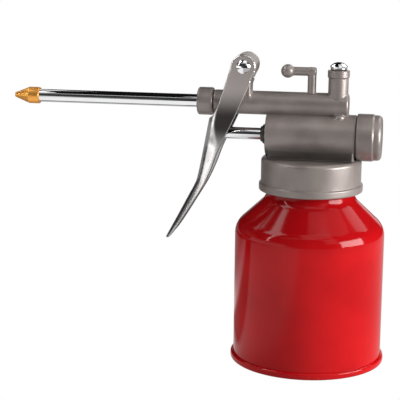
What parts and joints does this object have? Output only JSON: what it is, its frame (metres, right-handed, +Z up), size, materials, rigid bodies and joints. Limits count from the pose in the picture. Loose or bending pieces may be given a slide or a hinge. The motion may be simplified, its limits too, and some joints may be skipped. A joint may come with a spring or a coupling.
{
  "type": "pistol oiler",
  "caption": "Pistol-grip pump oil can: round enamelled can, screw-on pump head with a finger lever, shut-off cock and a long rigid spout with a conical nozzle.",
  "frame": {"origin": "centre of the can's standing ring, on the surface it stands on", "axes": "+Z up along the can's axis, -X along the spout towards the nozzle, -Y the side seen in use by a right-handed user"},
  "size_m": [0.1736, 0.0706, 0.1405],
  "materials": {
    "red_enamel": "gloss red enamel on tinplate",
    "grey_casting": "satin warm-grey paint on a die casting",
    "chrome_plate": "bright chrome plate",
    "satin_chrome": "chrome plate over pressed steel, slightly satin",
    "turned_brass": "turned brass",
    "plain_steel": "plain turned steel",
    "spring_steel": "drawn spring steel",
    "black_rubber": "oil-resistant black rubber",
    "dark_nylon": "dark grey nylon",
    "clear_nylon": "natural nylon tube"
  },
  "bodies": {
    "can": {"can_shell": "red_enamel", "can_base": "red_enamel", "neck_ring": "plain_steel"},
    "gasket": {"neck_gasket": "black_rubber"},
    "head": {"pump_head": "grey_casting", "rear_cap": "grey_casting", "cap_gasket": "black_rubber", "rod_gland": "dark_nylon", "gland_seal": "black_rubber", "return_spring": "spring_steel", "suction_seat": "turned_brass", "pickup_tube": "clear_nylon", "pickup_strainer": "turned_brass", "delivery_spring": "spring_steel", "valve_plug": "chrome_plate", "plug_washer": "black_rubber", "spout_nut": "grey_casting", "spout_olive": "turned_brass", "spout_tube": "chrome_plate", "nozzle": "turned_brass"},
    "plunger": {"piston_rod": "chrome_plate", "piston": "turned_brass", "piston_cup": "black_rubber", "piston_nut": "plain_steel"},
    "trigger": {"lever": "satin_chrome", "pivot_rivet": "chrome_plate", "rivet_cap": "chrome_plate"},
    "cock": {"cock_handle": "grey_casting", "cock_o_ring": "black_rubber"},
    "inlet_ball": {"suction_ball": "spring_steel"},
    "outlet_ball": {"delivery_ball": "spring_steel"}
  },
  "joints": [
    {"name": "head_lift", "type": "slide", "parent": "can", "child": "gasket", "axis": [0, 0, 1], "range_m": [0, 0.088]},
    {"name": "head_turn", "type": "hinge", "parent": "gasket", "child": "head", "pos_m": [0, 0, 0.0912], "axis": [0, 0, 1], "range_deg": [0, 540]},
    {"name": "lever_pivot", "type": "hinge", "parent": "head", "child": "trigger", "pos_m": [-0.0307, 0, 0.135], "axis": [0, -1, 0], "range_deg": [0, 17], "stiffness_Nm_per_rad": 0.4, "springref_deg": -17.19},
    {"name": "rod_slide", "type": "slide", "parent": "head", "child": "plunger", "axis": [1, 0, 0], "range_m": [0, 0.0095], "deforming": ["return_spring"]},
    {"name": "cock_turn", "type": "hinge", "parent": "head", "child": "cock", "pos_m": [-0.00066, 0, 0.12], "axis": [0, 0, 1], "range_deg": [0, 90]},
    {"name": "inlet_ball_lift", "type": "slide", "parent": "head", "child": "inlet_ball", "axis": [0, 0, 1], "range_m": [0, 0.001]},
    {"name": "outlet_ball_lift", "type": "slide", "parent": "head", "child": "outlet_ball", "axis": [0, 0, 1], "range_m": [0, 0.001], "stiffness_N_per_m": 30, "springref_m": -0.003, "deforming": ["delivery_spring"]}
  ],
  "couplings": [
    {"joint": "rod_slide", "follows": "lever_pivot", "m_per_rad": 0.0317}
  ]
}
